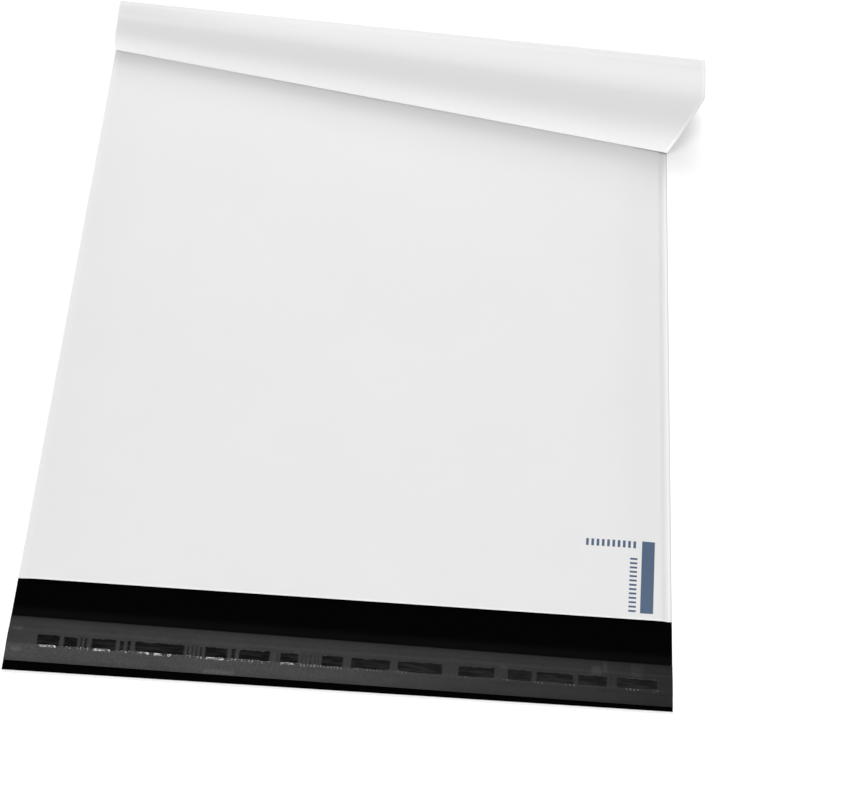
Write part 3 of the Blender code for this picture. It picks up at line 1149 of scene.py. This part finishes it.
class SpotTree(TreeMaker):
    """The Geometry Nodes tree that sets a low pillow or wedge on each point of a mesh.

    Attributes:
        INPUTS: The names and kinds of the tree's inputs.
        SEED: The seed of the shapes' uneven depths.
        BLOCK: The vertices of one shape along each side.
        RIM: The height of a shape's rim, as a share of its whole height.
        POWERS: How square a shape is at its ends, and along its length.
        DEPTHS: The least and the greatest share of its depth that a shape gets.
        RAGGED_SCALE: The scale of the noise that makes the edges ragged.
        RAGGED: The span of that raggedness along X, Y and Z.
    """

    INPUTS = (("Height", "NodeSocketFloat"), ("Wedge", "NodeSocketFloat"),
              ("Lean", "NodeSocketFloat"), ("Material", "NodeSocketMaterial"))
    SEED = 4
    BLOCK = {"Vertices X": 26, "Vertices Y": 12, "Vertices Z": 2}
    RIM = 0.06
    POWERS = (12.0, 4.0)
    DEPTHS = (0.9, 1.06)
    RAGGED_SCALE = 420.0
    RAGGED = (0.0005, 0.0008, 0.0)

    def __init__(self, name: str) -> None:
        """Builds the tree."""
        super().__init__(bpy.data.node_groups.new(name, "GeometryNodeTree"))
        interface = self.tree.interface
        interface.new_socket("Geometry", in_out="INPUT", socket_type="NodeSocketGeometry")
        for socket_name, kind in self.INPUTS:
            interface.new_socket(socket_name, in_out="INPUT", socket_type=kind)
        interface.new_socket("Geometry", in_out="OUTPUT", socket_type="NodeSocketGeometry")
        self.given = self.tree.nodes.new("NodeGroupInput").outputs
        end = self.tree.nodes.new("NodeGroupOutput")
        self.tree.links.new(self._dressed(self._spread(self._shape())).socket, end.inputs[0])

    def value(self, name: str) -> Signal:
        """One of the tree's inputs."""
        return Signal(self, self.given[name])

    def _named(self, name: str) -> Signal:
        """A number that each point carries."""
        return self.add("GeometryNodeInputNamedAttribute", {"data_type": "FLOAT"},
                        {"Name": name})

    def _shape(self) -> Signal:
        """The shape of one metre by one metre, that each instance scales."""
        sizes = {"Size": (1.0, 1.0, 1.0), **self.BLOCK}
        block = self.add("GeometryNodeMeshCube", sockets=sizes, output="Mesh")
        place = self.add("GeometryNodeInputPosition")
        x, y, z = self.split(place)
        ends = 1.0 - abs(x * 2.0) ** self.POWERS[0]
        dome = ends * (1.0 - abs(y * 2.0) ** self.POWERS[1])
        ramp = ends * (y + 0.5)
        wedge = self.value("Wedge")
        top = self.RIM + (1.0 - self.RIM) * (dome * (1.0 - wedge) + ramp * wedge)
        moved = self.add("ShaderNodeCombineXYZ", sockets={0: x, 1: y, 2: (z + 0.5) * top})
        marked = self.add("GeometryNodeStoreNamedAttribute", {"data_type": "FLOAT_VECTOR"},
                          {"Geometry": block, "Name": "spot_place", "Value": place})
        return self.add("GeometryNodeSetPosition", sockets={"Geometry": marked,
                                                           "Position": moved})

    def _spread(self, shape: Signal) -> Signal:
        """One scaled shape on each point."""
        uneven = self.add("FunctionNodeRandomValue", {"data_type": "FLOAT"},
                          {2: self.DEPTHS[0], 3: self.DEPTHS[1], "Seed": self.SEED}, output=1)
        size = self.add("ShaderNodeCombineXYZ",
                        sockets={0: self._named("spot_width"),
                                 1: self._named("spot_depth") * uneven,
                                 2: self.value("Height")})
        turn = self.add("ShaderNodeCombineXYZ", sockets={2: self.value("Lean")})
        spread = self.add("GeometryNodeInstanceOnPoints",
                          sockets={"Points": self.value("Geometry"), "Instance": shape,
                                   "Rotation": turn, "Scale": size})
        return self.add("GeometryNodeRealizeInstances", sockets={"Geometry": spread})

    def _dressed(self, real: Signal) -> Signal:
        """The real mesh with ragged edges and its material."""
        rounded = self.add("GeometryNodeSetShadeSmooth", sockets={"Geometry": real})
        wobble = self.add("ShaderNodeTexNoise",
                          sockets={"Scale": self.RAGGED_SCALE, "Detail": 2.0},
                          output="Color")
        centred = self.add("ShaderNodeVectorMath", {"operation": "SUBTRACT"},
                           {0: wobble, 1: (0.5, 0.5, 0.5)})
        shift = self.add("ShaderNodeVectorMath", {"operation": "MULTIPLY"},
                         {0: centred, 1: self.RAGGED})
        ragged = self.add("GeometryNodeSetPosition", sockets={"Geometry": rounded,
                                                             "Offset": shift})
        return self.add("GeometryNodeSetMaterial", sockets={"Geometry": ragged,
                                                            "Material": self.value("Material")})

    def apply(self, carrier: bpy.types.Object, values: dict[str, Any]) -> bpy.types.Object:
        """Runs the tree on an object and keeps the result as its plain mesh.

        Args:
            carrier: The object whose points the tree reads.
            values: A value for each named input.

        Returns:
            The same object, with the result as its mesh and no modifier.
        """
        modifier = carrier.modifiers.new("spots", "NODES")
        modifier.node_group = self.tree
        for item in self.tree.interface.items_tree:
            if item.in_out == "INPUT" and item.name in values:
                modifier[item.identifier] = values[item.name]
        graph = bpy.context.evaluated_depsgraph_get()
        result = bpy.data.meshes.new_from_object(carrier.evaluated_get(graph))
        carrier.modifiers.remove(modifier)
        carrier.data = result
        return carrier


@dataclass(frozen=True)
class SoftSun:
    """One broad, even light from far away.

    Attributes:
        name: Its name.
        bearing: Degrees clockwise from straight behind the mailer.
        height: Degrees over the floor.
        width: Its width in degrees as seen from the mailer.
        power: What it adds to a white surface that faces it.
    """

    name: str
    bearing: float
    height: float
    width: float
    power: float

    def build(self) -> None:
        """Adds the light to the scene."""
        light = bpy.data.lights.new(self.name, "SUN")
        light.angle = math.radians(self.width)
        light.energy = self.power * math.pi
        lamp = add_to_scene(self.name, light)
        lamp.rotation_euler = (math.radians(self.height - 90.0), 0.0,
                               math.radians(-self.bearing))


@dataclass
class Studio:
    """The pale floor, the soft light and the camera.

    The camera's place is measured from the flap's tip, and its turn is in degrees. The
    strip is the light that the adhesive reflects. The floor's glow makes it show white.
    """

    course: FilmCourse
    camera_place: tuple[float, float, float] = (0.0371, -0.2854, 0.7742)
    camera_turn: tuple[float, float, float] = (29.59, -1.436, 3.302)
    lens: float = 76.15
    sensor: float = 36.0
    sky: float = 0.15
    suns: tuple[SoftSun, ...] = (
        SoftSun("low_back_left", 335.0, 20.0, 22.0, 0.223),
        SoftSun("low_back", 0.0, 28.0, 24.0, 0.444),
        SoftSun("mid_back", 0.0, 40.0, 30.0, 0.201),
        SoftSun("high_back", 0.0, 58.0, 30.0, 0.049),
        SoftSun("overhead", 0.0, 82.0, 30.0, 0.405),
        SoftSun("low_front", 180.0, 8.0, 14.0, 0.839),
    )
    strip_power: float = 0.36
    strip_size: tuple[float, float] = (0.17, 0.08)
    strip_place: tuple[float, float, float] = (-0.25, -0.335, 1.0)
    strip_target: tuple[float, float, float] = (-0.1, -0.18, 0.0)
    floor_greys: tuple[float, float] = (0.60, 0.61)
    floor_glow: float = 0.42
    floor_half: float = 6.0
    floor_height: float = -0.6 * MM

    def build(self) -> None:
        """Sets up everything around the mailer."""
        self._floor()
        self._sky()
        for sun in self.suns:
            sun.build()
        self._gleam_strip()
        self._camera()
        view = bpy.context.scene.view_settings
        view.view_transform = "Standard"
        view.look = "None"

    def _floor(self) -> None:
        """A plain pale floor just under the mailer."""
        maker = FinishMaker("floor")
        cloud = maker.noise(0.8)
        dark, pale = (grey(value) for value in self.floor_greys)
        maker.set(Base_Color=maker.mix(cloud, dark, pale), Roughness=1.0,
                  Specular_IOR_Level=0.0, Emission_Color=grey(1.0),
                  Emission_Strength=self.floor_glow)
        corners = [(x * self.floor_half, y * self.floor_half, self.floor_height)
                   for x, y in ((-1, -1), (1, -1), (1, 1), (-1, 1))]
        data = bpy.data.meshes.new("floor")
        data.from_pydata(corners, [], [(0, 1, 2, 3)])
        data.materials.append(maker.material)
        floor = add_to_scene("floor", data)

    def _sky(self) -> None:
        """Even white light from all round."""
        world = bpy.data.worlds.new("studio")
        world.use_nodes = True
        background = world.node_tree.nodes["Background"]
        background.inputs["Color"].default_value = grey(1.0)
        background.inputs["Strength"].default_value = self.sky
        bpy.context.scene.world = world

    def _gleam_strip(self) -> None:
        """The area light that the adhesive reflects."""
        light = bpy.data.lights.new("gleam_strip", "AREA")
        light.shape = "RECTANGLE"
        light.size, light.size_y = self.strip_size
        light.energy = self.strip_power
        lamp = add_to_scene("gleam_strip", light)
        lamp.location = self.strip_place
        aim = Vector(self.strip_target) - Vector(self.strip_place)
        lamp.rotation_euler = aim.to_track_quat("-Z", "Y").to_euler()

    def _camera(self) -> None:
        """The photograph's viewpoint."""
        data = bpy.data.cameras.new("camera")
        data.lens = self.lens
        data.sensor_width = self.sensor
        data.clip_start = 0.01
        camera = add_to_scene("camera", data)
        x, y, z = self.camera_place
        camera.location = (x, y - self.course.rest_y, z)
        camera.rotation_euler = [math.radians(angle) for angle in self.camera_turn]
        bpy.context.scene.camera = camera


def print_marks(course: FilmCourse) -> Print:
    """The printed marks, placed from the right edge and the mouth."""
    edge = 0.5 * course.width
    mouth = course.flap - course.rest_y
    return Print(
        ink=(0.024, 0.062, 0.134, 1.0),
        bar=(edge - 14.9 * MM, edge - 8.8 * MM, mouth + 2.6 * MM, mouth + 39.4 * MM),
        ticks=(edge - 20.4 * MM, edge - 16.9 * MM, mouth + 3.0 * MM, mouth + 31.6 * MM),
        tick_pitch=2.2 * MM,
        squares=(edge - 41.6 * MM, edge - 17.2 * MM, mouth + 35.4 * MM, mouth + 39.0 * MM),
        square_pitch=2.5 * MM,
    )


def main() -> None:
    """Builds the mailer's pieces in order, and the studio round them."""
    logging.basicConfig(level=logging.INFO, format="%(name)s: %(message)s")
    course = FilmCourse()
    strip = SealStrip(course)
    strip_edge = float(strip.centre_y(np.array(0.0))) + 0.5 * strip.width
    edge_lean = (strip.lean + 0.5 * strip.taper * strip.width) / course.width
    finishes = {
        Face.BACK: WhiteFilm("white_film_back", course.width, weld_highlight=(0.045, 0.035),
                             roll_shading=ROLL_PAINTED_SHADE).make(),
        Face.FRONT: WhiteFilm("white_film_front", course.width,
                              printed=print_marks(course)).make(),
        Face.INSIDE: BlackFilm("black_film", strip_edge, edge_lean).make(),
    }

    pouch = Pouch(course).build(finishes)
    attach(pouch, "root")
    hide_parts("pouch")
    LOG.info("%s has %d faces", pouch.name, len(pouch.data.polygons))

    liner = strip.build_liner(LinerFilm("liner_film").make())
    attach(liner, "root")
    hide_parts("release_liner")
    LOG.info("%s has %d faces", liner.name, len(liner.data.polygons))

    runs = strip.build_spots("wetted_runs", strip.run_spots(), strip.run_height, 0.0,
                             Adhesive("wetted_adhesive").make())
    gleams = strip.build_spots("squeezed_edges", strip.gleam_spots(), strip.gleam_height, 1.0,
                               Squeeze("clear_adhesive").make())
    for piece in (runs, gleams):
        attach(piece, "root")
        LOG.info("%s has %d faces", piece.name, len(piece.data.polygons))

    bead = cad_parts["adhesive_strip"]
    bead.data.materials.clear()
    bead.data.materials.append(Squeeze("solid_adhesive", 0.01, 0.4).make())
    LOG.info("%s keeps its solid", bead.name)

    Studio(course).build()


if __name__ == "__main__":
    main()
